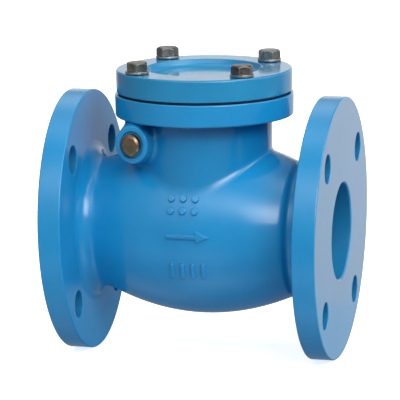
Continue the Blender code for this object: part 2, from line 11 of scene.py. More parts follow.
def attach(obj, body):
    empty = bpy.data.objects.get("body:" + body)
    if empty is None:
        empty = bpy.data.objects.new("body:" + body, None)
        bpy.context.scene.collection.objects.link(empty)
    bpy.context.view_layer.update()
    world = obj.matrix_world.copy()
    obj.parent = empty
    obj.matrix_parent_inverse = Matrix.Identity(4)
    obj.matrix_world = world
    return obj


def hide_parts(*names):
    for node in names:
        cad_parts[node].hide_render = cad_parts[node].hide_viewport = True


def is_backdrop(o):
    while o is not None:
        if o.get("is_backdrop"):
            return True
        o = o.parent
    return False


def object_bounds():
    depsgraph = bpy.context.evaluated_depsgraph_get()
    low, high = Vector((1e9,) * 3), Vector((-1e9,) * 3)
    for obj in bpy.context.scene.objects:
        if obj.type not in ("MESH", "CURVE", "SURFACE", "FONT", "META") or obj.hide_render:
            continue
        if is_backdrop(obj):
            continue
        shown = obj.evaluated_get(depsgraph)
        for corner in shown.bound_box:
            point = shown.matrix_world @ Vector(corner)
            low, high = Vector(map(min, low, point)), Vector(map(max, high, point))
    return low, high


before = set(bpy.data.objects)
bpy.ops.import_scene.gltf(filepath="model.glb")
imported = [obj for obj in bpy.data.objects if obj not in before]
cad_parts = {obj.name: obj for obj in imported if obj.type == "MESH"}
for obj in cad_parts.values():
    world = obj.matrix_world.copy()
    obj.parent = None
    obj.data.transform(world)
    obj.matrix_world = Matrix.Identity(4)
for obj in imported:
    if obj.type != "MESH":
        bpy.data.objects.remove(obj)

CAD_LO, CAD_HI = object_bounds()
CAD_LO, CAD_HI = list(CAD_LO), list(CAD_HI)

MM = 0.001
GAP = 0.3

# ---------------------------------------------------------------- dimensions
HALF = CAD_HI[0] * 1000                      # flange face to centre
FLANGE_R = 88.9
AXIS_HEIGHT = FLANGE_R                       # pipe axis above the floor
FLANGE_T = 18.0
BACK = HALF - FLANGE_T
BORE_R = 32.5
BOLT_CIRCLE_R = 69.85
BOLT_HOLE_R = 9.525
BELLY_R = 60.0
BELLY_SAG = 0.00275
BELLY_START = -60.0
SHOULDER_X = 73.2
NECK_R_IN = 44.6
NECK_R_OUT = 42.5
WALL = 6.5
CHAMBER_START = -50.0
CHAMBER_START_R = 44.0
CHAMBER_END = 62.0
BONNET_NECK_R = 51.2
BONNET_BORE_R = 45.5
BONNET_FLANGE_R = 67.4
BONNET_Z0 = 75.6
BONNET_Z1 = 90.0
GASKET_T = 0.8
GASKET_R = 65.0
COVER_R = 66.2
COVER_Z1 = 105.7
COVER_DISH_R = 44.0
COVER_DISH = 4.2
COVER_SPIGOT_R = 44.8
COVER_SPIGOT = 3.0
COVER_BOLT_CIRCLE_R = 56.8
BOLT_R = 5.0
BOLT_LEN = 30.0
BOLT_HEAD_AF = 15.0
BOLT_HEAD_H = 5.4
BOLT_CLEAR_R = 5.6
BOLT_TAP_R = 5.3
WASHER_R = 8.9
WASHER_T = 1.6
HINGE_X = -41.0
HINGE_Z = 62.0
HOUSING_R = 16.0
HOUSING_END_R = 12.2
HOUSING_Y = 57.0
POCKET_R = 12.0
POCKET_Y = 24.0
PIN_R = 5.0
PIN_Y = 45.0
BUSH_R = 6.5
BUSH_Y = 44.0
PLUG_R = 7.15
PLUG_HEAD = 5.0
HUB_R = 9.5
HUB_Y = 21.0
STOP_ANGLE = 30.0
SEAT_FACE_X = -49.0
SEAT_R_OUT = 37.1
SEAT_R_IN = 32.0
SEAT_LEN = 12.7
DISC_R = 38.5
FACING_R_IN = 30.0
FACING_R_OUT = 37.6
FACING_T = 2.8
DISC_T = 7.0
STEM_R = 6.0
STEM_END_X = -9.0
EYE_R = 14.5
EYE_BORE_R = 6.7
EYE_T = 9.0
NUT_AF = 18.0
NUT_H = 10.0
DISC_WASHER_R = 12.0
PIN_WIRE_R = 0.55
HEAD_Z = COVER_Z1 + GAP + WASHER_T + GAP

disc_x0 = SEAT_FACE_X + GAP
plate_x0 = disc_x0 + FACING_T + GAP
plate_x1 = plate_x0 + DISC_T
boss_x1 = plate_x1 + 1.7
eye_x0 = boss_x1 + 0.4
eye_x1 = eye_x0 + EYE_T
washer_x0 = eye_x1 + GAP
nut_x0 = washer_x0 + WASHER_T + GAP
split_x = nut_x0 + NUT_H + 2.4

scene = bpy.context.scene
valve = bpy.data.collections.new("valve_looks")
scene.collection.children.link(valve)


# ---------------------------------------------------------------- mesh tools
def new_object(name, verts, faces):
    """A mesh object from millimetre points."""
    mesh = bpy.data.meshes.new(name)
    mesh.from_pydata((np.asarray(verts, float) * MM).tolist(), [],
                     [list(map(int, f)) for f in faces])
    mesh.validate()
    mesh.update()
    obj = bpy.data.objects.new(name, mesh)
    valve.objects.link(obj)
    return obj


def turn_points(p, axis, at=(0, 0, 0)):
    p = np.asarray(p, float)
    if axis == "X":
        p = np.stack([p[:, 2], p[:, 1], -p[:, 0]], 1)
    elif axis == "Y":
        p = np.stack([p[:, 0], p[:, 2], -p[:, 1]], 1)
    return p + np.asarray(at, float)


def rounded(points, n=4, closed=False):
    """A polyline of (radius, height, corner radius) with round corners."""
    out = []
    count = len(points)
    for i, (r, h, rad) in enumerate(points):
        if rad <= 0 or (not closed and i in (0, count - 1)):
            out.append((r, h))
            continue
        p = np.array((r, h), float)
        a = np.array(points[i - 1][:2], float) - p
        b = np.array(points[(i + 1) % count][:2], float) - p
        la, lb = np.linalg.norm(a), np.linalg.norm(b)
        u, v = a / la, b / lb
        ang = math.acos(max(-1.0, min(1.0, float(u @ v))))
        t = min(rad / math.tan(ang / 2), 0.49 * la, 0.49 * lb)
        rr = t * math.tan(ang / 2)
        m = (u + v) / np.linalg.norm(u + v)
        c = p + m * rr / math.sin(ang / 2)
        s, e = p + u * t - c, p + v * t - c
        a0 = math.atan2(s[1], s[0])
        d = math.atan2(e[1], e[0]) - a0
        d = (d + math.pi) % (2 * math.pi) - math.pi
        for k in range(n + 1):
            q = a0 + d * k / n
            out.append((c[0] + rr * math.cos(q), c[1] + rr * math.sin(q)))
    return out


def lathe(name, profile, axis="Z", at=(0, 0, 0), steps=96, closed=False):
    """A turned solid; the profile runs down its outer side from the top."""
    verts, rings, faces = [], [], []
    th = 2 * np.pi * np.arange(steps) / steps
    for r, h in profile:
        if r < 1e-6:
            rings.append([len(verts)])
            verts.append((0, 0, h))
        else:
            rings.append(list(range(len(verts), len(verts) + steps)))
            verts.extend(zip(r * np.cos(th), r * np.sin(th), [h] * steps))
    pairs = list(zip(rings, rings[1:]))
    if closed:
        pairs.append((rings[-1], rings[0]))
    for a, b in pairs:
        for j in range(steps):
            k = (j + 1) % steps
            if len(a) == 1 and len(b) == 1:
                break
            if len(a) == 1:
                faces.append((a[0], b[j], b[k]))
            elif len(b) == 1:
                faces.append((a[j], b[0], a[k]))
            else:
                faces.append((a[j], b[j], b[k], a[k]))
    return new_object(name, turn_points(verts, axis, at), faces)


def tube(name, r_out, r_in, h0, h1, axis="Z", at=(0, 0, 0), steps=96,
         edge=0.3, inner=None):
    e = inner if inner is not None else edge
    return lathe(name, rounded([(r_in, h1, e), (r_out, h1, edge),
                                (r_out, h0, edge), (r_in, h0, e)], 3, True),
                 axis, at, steps, closed=True)


def bar(name, r, h0, h1, axis="Z", at=(0, 0, 0), steps=64, edge=0.0):
    return lathe(name, rounded([(0, h1, 0), (r, h1, edge), (r, h0, edge),
                                (0, h0, 0)], 3), axis, at, steps)


def prism(name, across, h0, h1, axis="Z", at=(0, 0, 0), turn=0.0):
    """A hexagon prism with its corners on local +X and -X."""
    r = across / math.sqrt(3)
    a = [math.radians(60 * k + turn) for k in range(6)]
    verts = [(r * math.cos(q), r * math.sin(q), h) for h in (h1, h0)
             for q in a]
    faces = [range(6), range(11, 5, -1)]
    faces += [(k, k + 6, (k + 1) % 6 + 6, (k + 1) % 6) for k in range(6)]
    return new_object(name, turn_points(verts, axis, at), faces)


def threaded(name, r, depth, pitch, h0, h1, axis="Z", at=(0, 0, 0),
             steps=40, per=6, fade=2.0):
    """A rod with a real helical thread that runs out at both ends."""
    rows = int((h1 - h0) / pitch * per)
    th = 2 * np.pi * np.arange(steps) / steps
    verts = [(0, 0, h1)]
    for i in range(rows + 1):
        h = h1 + (h0 - h1) * i / rows
        ph = (h / pitch - th / (2 * np.pi)) % 1.0
        tooth = np.clip(np.abs(ph * 2 - 1) * 1.5 - 0.25, 0, 1)
        run = min(1.0, (h1 - h) / fade + 0.02, (h - h0) / fade + 0.02)
        lead = min(1.0, (h - h0) / 1.0 * 0.8 + 0.2)
        rr = (r - depth * tooth * max(run, 0)) - (1 - lead) * depth
        verts.extend(zip(rr * np.cos(th), rr * np.sin(th), [h] * steps))
    verts.append((0, 0, h0))
    faces = []
    for j in range(steps):
        k = (j + 1) % steps
        faces.append((0, 1 + j, 1 + k))
        base = 1 + rows * steps
        faces.append((base + j, len(verts) - 1, base + k))
    for i in range(rows):
        a, b = 1 + i * steps, 1 + (i + 1) * steps
        for j in range(steps):
            k = (j + 1) % steps
            faces.append((a + j, b + j, b + k, a + k))
    return new_object(name, turn_points(verts, axis, at), faces)


def drop(obj):
    mesh = obj.data
    bpy.data.objects.remove(obj, do_unlink=True)
    if mesh.users == 0:
        bpy.data.meshes.remove(mesh)


def bake(obj):
    """Applies the object's modifiers to its mesh."""
    dg = bpy.context.evaluated_depsgraph_get()
    dg.update()
    mesh = bpy.data.meshes.new_from_object(obj.evaluated_get(dg))
    old = obj.data
    obj.modifiers.clear()
    obj.data = mesh
    mesh.name = obj.name
    if old.users == 0:
        bpy.data.meshes.remove(old)
    return obj


def open_edges(mesh):
    bm = bmesh.new()
    bm.from_mesh(mesh)
    n = sum(1 for e in bm.edges if len(e.link_faces) != 2)
    bm.free()
    return n


def combine(obj, how, *others):
    """Boolean steps, each with the quick solver and the exact one behind."""
    for other in others:
        before = obj.data.copy()
        for solver in ("MANIFOLD", "EXACT"):
            mod = obj.modifiers.new("join", "BOOLEAN")
            mod.operation = how
            mod.object = other
            mod.solver = solver
            bake(obj)
            if len(obj.data.polygons) > 3 and open_edges(obj.data) == 0:
                break
            print("boolean", obj.name, how, other.name, solver, "left",
                  open_edges(obj.data), "open edges")
            obj.data = before.copy()
        drop(other)
    return obj


def soften(obj, width, segments=2, angle=30):
    """Small bevel on every crisp edge."""
    mod = obj.modifiers.new("edges", "BEVEL")
    mod.width = width * MM
    mod.segments = segments
    mod.limit_method = "ANGLE"
    mod.angle_limit = math.radians(angle)
    mod.harden_normals = False
    mod.miter_outer = "MITER_ARC"
    return bake(obj)


def smooth(obj, angle=32):
    obj.data.shade_smooth()
    obj.data.set_sharp_from_angle(angle=math.radians(angle))
    mod = obj.modifiers.new("flat faces stay flat", "WEIGHTED_NORMAL")
    mod.keep_sharp = True
    mod.weight = 90
    return obj


# ------------------------------------------------- cast forms from a distance
def round_union(a, b, r):
    """Joins two forms with a cast fillet of radius r."""
    u = np.maximum(r - a, 0)
    v = np.maximum(r - b, 0)
    return np.maximum(r, np.minimum(a, b)) - np.hypot(u, v)


def round_cross(a, b, r):
    """Keeps what two forms share, with an edge radius r."""
    u = np.maximum(r + a, 0)
    v = np.maximum(r + b, 0)
    return np.minimum(-r, np.maximum(a, b)) + np.hypot(u, v)


def surface_net(f, lo, hi, h):
    """Quads round the zero surface of f(points) on a grid of step h."""
    lo, hi = np.asarray(lo, float), np.asarray(hi, float)
    n = np.ceil((hi - lo) / h).astype(int) + 1
    ax = [lo[i] + h * np.arange(n[i]) for i in range(3)]
    grid = np.stack(np.meshgrid(*ax, indexing="ij"), -1)
    val = f(grid.reshape(-1, 3)).reshape(n)
    val[val == 0] = 1e-9
    ins = val < 0
    total = np.zeros(n - 1)
    pos = np.zeros((*(n - 1), 3))
    hits = np.zeros(n - 1)

    def at(a, c):
        return a[c[0]:c[0] + n[0] - 1, c[1]:c[1] + n[1] - 1,
                 c[2]:c[2] + n[2] - 1]

    corners = [(i, j, k) for i in (0, 1) for j in (0, 1) for k in (0, 1)]
    for c in corners:
        total += at(ins, c)
    for c in corners:
        for d in range(3):
            if c[d]:
                continue
            e = list(c)
            e[d] = 1
            fa, fb = at(val, c), at(val, e)
            cross = at(ins, c) != at(ins, e)
            t = np.where(cross, fa / np.where(cross, fa - fb, 1), 0)
            pa, pb = at(grid, c), at(grid, e)
            pos += np.where(cross[..., None], pa + t[..., None] * (pb - pa), 0)
            hits += cross
    active = (total > 0) & (total < 8)
    index = -np.ones(n - 1, int)
    index[active] = np.arange(active.sum())
    verts = pos[active] / hits[active][:, None]
    faces = []
    for d in range(3):
        a, b = [(1, 2), (2, 0), (0, 1)][d]
        s0 = [slice(None)] * 3
        s1 = [slice(None)] * 3
        s0[d], s1[d] = slice(0, -1), slice(1, None)
        i0, i1 = ins[tuple(s0)], ins[tuple(s1)]
        for flip in (False, True):
            hit = (i0 & ~i1) if not flip else (~i0 & i1)
            w = np.argwhere(hit)
            w = w[(w[:, a] > 0) & (w[:, b] > 0)
                  & (w[:, a] < n[a] - 1) & (w[:, b] < n[b] - 1)]
            if not len(w):
                continue
            quad = []
            for da, db in ((1, 1), (0, 1), (0, 0), (1, 0)):
                q = w.copy()
                q[:, a] -= da
                q[:, b] -= db
                quad.append(index[q[:, 0], q[:, 1], q[:, 2]])
            quad = np.stack(quad, 1)
            faces.append(quad[:, ::-1] if flip else quad)
    return verts, np.concatenate(faces)


def gradient(f, p, e=0.02):
    g = np.empty_like(p)
    for i in range(3):
        d = np.zeros(3)
        d[i] = e
        g[:, i] = (f(p + d) - f(p - d)) / (2 * e)
    return g


def settle(verts, faces, f, keep, rounds=4, h=1.0):
    """Evens the net out along the surface and puts it exactly on it."""
    edges = np.concatenate([faces[:, [i, (i + 1) % 4]] for i in range(4)])
    edges = np.unique(np.sort(edges, 1), axis=0)
    p = verts.copy()
    for step in range(rounds):
        total = np.zeros_like(p)
        deg = np.zeros(len(p))
        for a, b in ((0, 1), (1, 0)):
            np.add.at(total, edges[:, a], p[edges[:, b]])
            np.add.at(deg, edges[:, a], 1)
        q = p + 0.5 * (total / deg[:, None] - p)
        move = keep(q)
        p[move] = q[move]
        for _ in range(3):
            s = p[move]
            g = gradient(f, s)
            gg = np.maximum((g * g).sum(1), 1e-3)
            d = -(f(s) / gg)[:, None] * g
            length = np.maximum(np.linalg.norm(d, axis=1, keepdims=True), 1e-9)
            p[move] = s + d * np.minimum(1, 0.6 * h / length)
    return p


def cast(name, f, lo, hi, h, keep, rounds=4):
    verts, faces = surface_net(f, lo, hi, h)
    verts = settle(verts, faces, f, keep, rounds, h)
    return new_object(name, verts, faces)


# ------------------------------------------------------------- body casting
def belly_radius(x):
    x = np.asarray(x, float)
    x0 = -BACK + 12.0
    t = np.clip((x - x0) / (BELLY_START - x0), 0, 1)
    r0, r1 = NECK_R_IN, BELLY_R - BELLY_SAG * BELLY_START ** 2
    m0 = 0.10 * (BELLY_START - x0)
    m1 = -2 * BELLY_SAG * BELLY_START * (BELLY_START - x0)
    neck = ((2 * t ** 3 - 3 * t ** 2 + 1) * r0 + (t ** 3 - 2 * t ** 2 + t) * m0
            + (3 * t ** 2 - 2 * t ** 3) * r1 + (t ** 3 - t ** 2) * m1)
    return np.where(x >= BELLY_START, BELLY_R - BELLY_SAG * x * x, neck)


SINK = 0.05        # how far the cast form runs into the flange backs


def casting(p):
    x, y, z = p[:, 0], p[:, 1], p[:, 2]
    rho = np.hypot(y, z)
    slope = np.where((x > -78) & (x < 74), 2 * BELLY_SAG * np.abs(x), 0.0)
    belly = (rho - belly_radius(np.clip(x, -100, 80))) / np.sqrt(1 + slope ** 2)
    f = round_cross(belly, x - SHOULDER_X, 2.4)
    f = round_union(f, rho - NECK_R_OUT, 2.6)
    f = round_union(f, np.maximum(BACK + SINK - x, rho - 63), 4.5)
    f = round_union(f, np.maximum(x + BACK + SINK, rho - 63), 12.0)
    flat = np.hypot(x, y)
    neck = np.maximum(flat - BONNET_NECK_R, 14 - z)
    f = round_union(f, neck, 2.6)
    f = round_union(f, np.maximum(BONNET_Z0 + SINK - z, flat - 64), 2.4)
    ay = np.abs(y)
    t = np.clip((ay - 26) / (HOUSING_Y - 26), 0, 1.1)
    ends = HOUSING_R - (HOUSING_R - HOUSING_END_R) * t ** 1.6
    hub = np.maximum(np.hypot(x - HINGE_X, z - HINGE_Z) - ends, ay - 61)
    f = round_union(f, hub, 3.6)
    f = np.maximum(f, np.maximum(np.abs(x) - BACK - 4, z - BONNET_Z0 - 5))
    return f


STEP = 1.3
core = cast("body_casting", casting, (-BACK - 7, -68, -68), (BACK + 7, 68, 84),
            STEP, lambda q: (np.abs(q[:, 0]) < BACK + 1.5)
            & (q[:, 2] < BONNET_Z0 + 1.5) & (np.abs(q[:, 1]) < 59.5)
            & (np.hypot(q[:, 1], q[:, 2]) < 78))
print("core", len(core.data.polygons), "open", open_edges(core.data))


def pipe_flange(name, side):
    lo, hi = sorted((side * BACK, side * HALF))
    return lathe(name, rounded([(0, hi, 0), (FLANGE_R, hi, 1.1),
                                (FLANGE_R, lo, 1.1), (0, lo, 0)], 4),
                 "X", steps=180)


bonnet = lathe("bonnet_form", rounded([
    (0, BONNET_Z1, 0), (BONNET_FLANGE_R, BONNET_Z1, 0.9),
    (BONNET_FLANGE_R, BONNET_Z0, 1.3), (0, BONNET_Z0, 0)], 4), steps=180)
combine(core, "UNION", pipe_flange("inlet_form", -1),
        pipe_flange("outlet_form", 1), bonnet)


# raised cast marks on the belly front: (along x, round the belly) in mm
def on_belly(x, s, lift):
    """A point on the front of the belly: s runs upwards round the girth."""
    r = float(belly_radius(x))
    a = s / BELLY_R
    return (x, -(r + lift) * math.cos(a), (r + lift) * math.sin(a))


def inset(poly, d):
    """The polygon moved inwards by d, corners mitred (counter-clockwise)."""
    out = []
    n = len(poly)
    for i in range(n):
        p0, p1, p2 = (np.array(poly[j], float)
                      for j in (i - 1, i, (i + 1) % n))
        e1, e2 = p1 - p0, p2 - p1
        n1 = np.array((-e1[1], e1[0])) / np.linalg.norm(e1)
        n2 = np.array((-e2[1], e2[0])) / np.linalg.norm(e2)
        m = n1 + n2
        out.append(tuple(p1 + m * d / max(0.25, 1 + float(n1 @ n2))))
    return out


def raised(name, poly, height=1.9, edge=0.7):
    """A cast mark with soft edges that follows the belly."""
    rings = [(-0.35, -1.6), (-0.25, 0.0), (0.0, height * 0.55),
             (edge * 0.35, height * 0.85), (edge, height)]
    verts, faces = [], []
    n = len(poly)
    for d, lift in rings:
        for x, s in (inset(poly, d) if d else poly):
            verts.append(on_belly(x, s, lift))
    for k in range(len(rings) - 1):
        for i in range(n):
            j = (i + 1) % n
            faces.append((k * n + i, k * n + j, (k + 1) * n + j,
                          (k + 1) * n + i))
    faces.append(range((len(rings) - 1) * n, len(rings) * n))
    faces.append(range(n - 1, -1, -1))
    return new_object(name, verts, faces)


def disc_poly(x, s, r, n=20):
    return [(x + r * math.cos(2 * math.pi * i / n),
             s + r * math.sin(2 * math.pi * i / n)) for i in range(n)]


def slab_poly(x, s, w, h, lean=0.0, n=4):
    """A slanted bar with rounded corners."""
    r = min(w, h) * 0.35
    pts = []
    for cx, cy, a0 in ((w / 2 - r, -h / 2 + r, -90), (w / 2 - r, h / 2 - r, 0),
                       (-w / 2 + r, h / 2 - r, 90),
                       (-w / 2 + r, -h / 2 + r, 180)):
        for k in range(n + 1):
            a = math.radians(a0 + 90 * k / n)
            px, py = cx + r * math.cos(a), cy + r * math.sin(a)
            pts.append((x + px + py * lean, s + py))
    return pts


marks = []
arrow = []
for (x0, s0), (x1, s1) in zip(
        [(-15, -1.3), (8.5, -1.3), (8.5, -4.0), (18.5, 0), (8.5, 4.0),
         (8.5, 1.3), (-15, 1.3)],
        [(8.5, -1.3), (8.5, -4.0), (18.5, 0), (8.5, 4.0), (8.5, 1.3),
         (-15, 1.3), (-15, -1.3)]):
    cuts = max(1, int(math.hypot(x1 - x0, s1 - s0) / 4))
    for k in range(cuts):
        arrow.append((x0 + (x1 - x0) * k / cuts, s0 + (s1 - s0) * k / cuts
                      + 2.6))
marks.append(raised("flow_arrow_form", arrow))
for row, s in enumerate((19.8, 28.2)):
    for col, x in enumerate((-9.3, 0.0, 9.3)):
        marks.append(raised(f"stud_form_{row}_{col}",
                            disc_poly(x - 2.3, s, 2.7)))
for k, x in enumerate((-12.3, -4.1, 4.1, 12.3)):
    marks.append(raised(f"bar_form_{k}",
                        slab_poly(x + 1.2, -21.5, 3.4, 11.0)))
combine(core, "UNION", *marks)

# waterway, bonnet bore, hinge pocket and every drilled hole
n_w = 24
way = [(0, HALF + 5), (BORE_R + 6, HALF + 5), (BORE_R + 1.0, HALF + 0.01),
       (BORE_R, HALF - 1.0), (BORE_R, CHAMBER_END + 15)]
for i in range(n_w + 1):
    x = CHAMBER_END + (CHAMBER_START + 14 - CHAMBER_END) * i / n_w
    way.append((float(belly_radius(x)) - WALL, x))
way += [(CHAMBER_START_R, CHAMBER_START), (SEAT_R_OUT + GAP, CHAMBER_START),
        (SEAT_R_OUT + GAP, SEAT_FACE_X - SEAT_LEN - GAP),
        (BORE_R, SEAT_FACE_X - SEAT_LEN - GAP), (BORE_R, -HALF + 1.0),
        (BORE_R + 1.0, -HALF - 0.01), (BORE_R + 6, -HALF - 5), (0, -HALF - 5)]
combine(core, "DIFFERENCE", lathe("way", way, "X", steps=144),
        lathe("bonnet_bore", [(0, BONNET_Z1 + 5), (BONNET_BORE_R + 6,
              BONNET_Z1 + 5), (BONNET_BORE_R + 0.6, BONNET_Z1 + 0.01),
              (BONNET_BORE_R, BONNET_Z1 - 0.6), (BONNET_BORE_R, 5), (0, 5)],
              steps=144),
        bar("pocket", POCKET_R, -POCKET_Y, POCKET_Y, "Y",
            (HINGE_X, 0, HINGE_Z)),
        bar("pin_bore", BUSH_R + GAP, -HOUSING_Y - 8, HOUSING_Y + 8, "Y",
            (HINGE_X, 0, HINGE_Z), steps=48))
for side in (-1, 1):          # the housing ends are faced and chamfered
    prof = [(0, 8), (14.0, 8), (14.0, -1.5), (13.2, -1.5), (11.5, 0.0),
            (9.1, 0.0), (8.6, -0.5), (8.6, -1.6), (0, -1.6)]
    if side < 0:
        prof = [(r, -h) for r, h in prof[::-1]]
    combine(core, "DIFFERENCE", lathe(
        "facing", prof, "Y", (HINGE_X, side * HOUSING_Y, HINGE_Z), 64))
bolt_at = []
for k in range(4):
    a = math.radians(45 + 90 * k)
    bolt_at.append((COVER_BOLT_CIRCLE_R * math.cos(a),
                    COVER_BOLT_CIRCLE_R * math.sin(a)))
for bx, by in bolt_at:
    combine(core, "DIFFERENCE", bar(
        "tapped", BOLT_TAP_R, HEAD_Z - BOLT_LEN - 0.6, BONNET_Z1 + 4,
        at=(bx, by, 0), steps=32))
for side in (-1, 1):
    mid = side * (HALF - FLANGE_T / 2)
    half = FLANGE_T / 2
    for k in range(4):
        a = math.radians(45 + 90 * k)
        prof = [(0, half + 3), (BOLT_HOLE_R + 3.5, half + 3),
                (BOLT_HOLE_R + 0.5, half), (BOLT_HOLE_R, half - 0.5),
                (BOLT_HOLE_R, -half + 0.5), (BOLT_HOLE_R + 0.5, -half),
                (BOLT_HOLE_R + 3.5, -half - 3), (0, -half - 3)]
        combine(core, "DIFFERENCE", lathe(
            "flange_hole", prof, "X",
            (mid, BOLT_CIRCLE_R * math.cos(a), BOLT_CIRCLE_R * math.sin(a)),
            48))
print("body", len(core.data.polygons), "open", open_edges(core.data))
smooth(core)

# -------------------------------------------------------------------- cover
gasket_z = BONNET_Z1 + GAP
cover_z0 = gasket_z + GASKET_T + GAP
cover = lathe("cover_casting", rounded([
    (0, COVER_Z1 - COVER_DISH, 0),
    (COVER_DISH_R - 2.2, COVER_Z1 - COVER_DISH, 3.2),
    (COVER_DISH_R, COVER_Z1, 1.2), (COVER_R, COVER_Z1, 1.5),
    (COVER_R, cover_z0, 0.6), (COVER_SPIGOT_R, cover_z0, 0),
    (COVER_SPIGOT_R, cover_z0 - COVER_SPIGOT, 0.5),
    (36, cover_z0 - COVER_SPIGOT, 0.8), (30, cover_z0, 1.5),
    (0, cover_z0, 0)], 6), steps=180)
gasket = tube("gasket_sheet", GASKET_R, COVER_SPIGOT_R + 1.2, gasket_z,
              gasket_z + GASKET_T, steps=180, edge=0.25)
for bx, by in bolt_at:
    combine(cover, "DIFFERENCE", bar("hole", BOLT_CLEAR_R, cover_z0 - 8,
                                     COVER_Z1 + 8, at=(bx, by, 0), steps=40))
    combine(gasket, "DIFFERENCE", bar("hole", BOLT_CLEAR_R, gasket_z - 4,
                                      gasket_z + 6, at=(bx, by, 0), steps=40))
smooth(cover)
smooth(gasket)

# -------------------------------------------------------------- cover bolts
bolts, washers = [], []
for k, (bx, by) in enumerate(bolt_at, 1):
    at = (bx, by, 0)
    top = HEAD_Z + BOLT_HEAD_H
    bolt = prism(f"hex_bolt_{k}", BOLT_HEAD_AF, HEAD_Z, top, at=at,
                 turn=(0, 18, 47, 31)[k - 1])
    combine(bolt, "INTERSECT", lathe("crown", rounded([
        (0, top - 0.05, 0), (BOLT_HEAD_AF / 2 - 0.5, top - 0.05, 0.4),
        (BOLT_HEAD_AF * 0.6375, top - 1.75, 0),
        (BOLT_HEAD_AF * 0.6375, HEAD_Z - 1, 0), (0, HEAD_Z - 1, 0)], 2),
        at=at, steps=72))
    soften(bolt, 0.22, 2, 25)
    combine(bolt, "UNION", threaded(
        "thread", BOLT_R, 0.85, 1.5, HEAD_Z - BOLT_LEN, HEAD_Z + 2, at=at))
    bolts.append(smooth(bolt, 28))
    washers.append(smooth(tube(
        f"plain_washer_{k}", WASHER_R, BOLT_R + GAP + 0.2, COVER_Z1 + GAP,
        COVER_Z1 + GAP + WASHER_T, at=at, steps=72, edge=0.35)))

# -------------------------------------------------------- hinge pin and ends
hinge_at = (HINGE_X, 0, HINGE_Z)
pin = smooth(lathe("ground_pin", rounded([
    (0, PIN_Y, 0), (PIN_R, PIN_Y, 0.9), (PIN_R, -PIN_Y, 0.9),
    (0, -PIN_Y, 0)], 4), "Y", hinge_at, 64))
bushes, plugs = {}, {}
for side, name in ((-1, "front"), (1, "back")):
    lo, hi = sorted((side * (POCKET_Y + GAP), side * BUSH_Y))
    bushes[name] = smooth(tube(f"bush_{name}", BUSH_R, PIN_R + GAP, lo, hi,
                               "Y", hinge_at, 64, 0.4))
    face = side * (HOUSING_Y + 0.4)
    prof = rounded([(0, PLUG_HEAD - 0.05, 0),
                    (PLUG_R - 1.6, PLUG_HEAD - 0.25, 1.0),
                    (PLUG_R, PLUG_HEAD - 1.7, 1.0), (PLUG_R, -1.6, 0.3),
                    (0, -1.6, 0)], 5)
    if side < 0:
        prof = [(q, -h) for q, h in prof[::-1]]
    plug = lathe(f"round_plug_{name}", prof, "Y", (HINGE_X, face, HINGE_Z),
                 96)
    lo, hi = sorted((side * (PIN_Y + 1.0), side * (HOUSING_Y + 2)))
    combine(plug, "UNION", threaded("thread", BUSH_R, 0.7, 1.34, lo, hi, "Y",
                                    hinge_at, fade=1.2))
    plugs[name] = smooth(plug, 28)


# ---------------------------------------------------------------- hinge arm
def arm_form(p):
    x, y, z = p[:, 0], p[:, 1], p[:, 2]
    hub = round_cross(np.hypot(x - HINGE_X, z - HINGE_Z) - HUB_R,
                      np.abs(y) - HUB_Y, 1.0)
    mid = (eye_x0 + eye_x1) / 2
    eye = round_cross(np.hypot(y, z) - EYE_R, np.abs(x - mid) - EYE_T / 2, 1.1)
    t = np.clip((z - 6) / (HINGE_Z - 6), 0, 1)
    wide = 8.2 + 5.0 * t
    web = round_cross(np.abs(x - mid) - 3.7 + 0.4, np.abs(y) - wide, 1.6)
    web = np.maximum(web, np.maximum(-z + 2, z - HINGE_Z))
    rib = round_cross(np.abs(y) - 2.6, np.abs(x - mid - 1.4) - 3.0, 1.2)
    rib = np.maximum(rib, np.maximum(6 - z, z - HINGE_Z))
    a = math.radians(STOP_ANGLE)
    u = (x - HINGE_X) * math.cos(a) + (z - HINGE_Z) * math.sin(a)
    v = -(x - HINGE_X) * math.sin(a) + (z - HINGE_Z) * math.cos(a)
    lug = round_cross(np.maximum(np.abs(v) - 2.6, np.abs(y) - 7.0),
                      np.maximum(u - 16.0, 4 - u), 0.7)
    f = round_union(hub, web, 3.0)
    f = round_union(f, eye, 2.2)
    f = round_union(f, rib, 1.0)
    return round_union(f, lug, 1.0)


arm = cast("cast_arm", arm_form, (-53, -24, -17), (-22, 24, 80),
           0.8, lambda q: np.ones(len(q), bool), 3)
combine(arm, "DIFFERENCE",
        bar("pin_hole", PIN_R + GAP, -HUB_Y - 5, HUB_Y + 5, "Y", hinge_at, 48),
        bar("stem_hole", EYE_BORE_R, eye_x0 - 8, eye_x1 + 8, "X", steps=48),
        bar("spot_face", DISC_WASHER_R + 1.0, eye_x1, eye_x1 + 6, "X",
            steps=72))
smooth(arm)

# ---------------------------------------------------------- disc and its nut
disc = lathe("disc_plate", rounded([
    (0, boss_x1 + 3, 0), (STEM_R, boss_x1 + 3, 0), (STEM_R, boss_x1, 0),
    (11.6, boss_x1, 0.5), (12.4, plate_x1 + 0.4, 1.2),
    (DISC_R - 9, plate_x1, 4.0), (DISC_R, plate_x1 - 1.9, 1.2),
    (DISC_R, plate_x0, 0.7), (FACING_R_IN - GAP, plate_x0, 0),
    (FACING_R_IN - GAP, disc_x0 + 0.8, 0.5), (24.0, disc_x0 + 0.8, 0.4),
    (23.0, disc_x0 + 1.6, 0.4), (6.0, disc_x0 + 1.6, 1.0),
    (4.5, disc_x0 + 0.9, 0.4), (1.6, disc_x0 + 0.9, 0.1),
    (0, disc_x0 + 2.2, 0)], 4), "X", steps=128)
combine(disc, "UNION", threaded(
    "thread", STEM_R, 0.9, 1.75, boss_x1 + 1.0, STEM_END_X, "X", steps=48,
    fade=1.5))
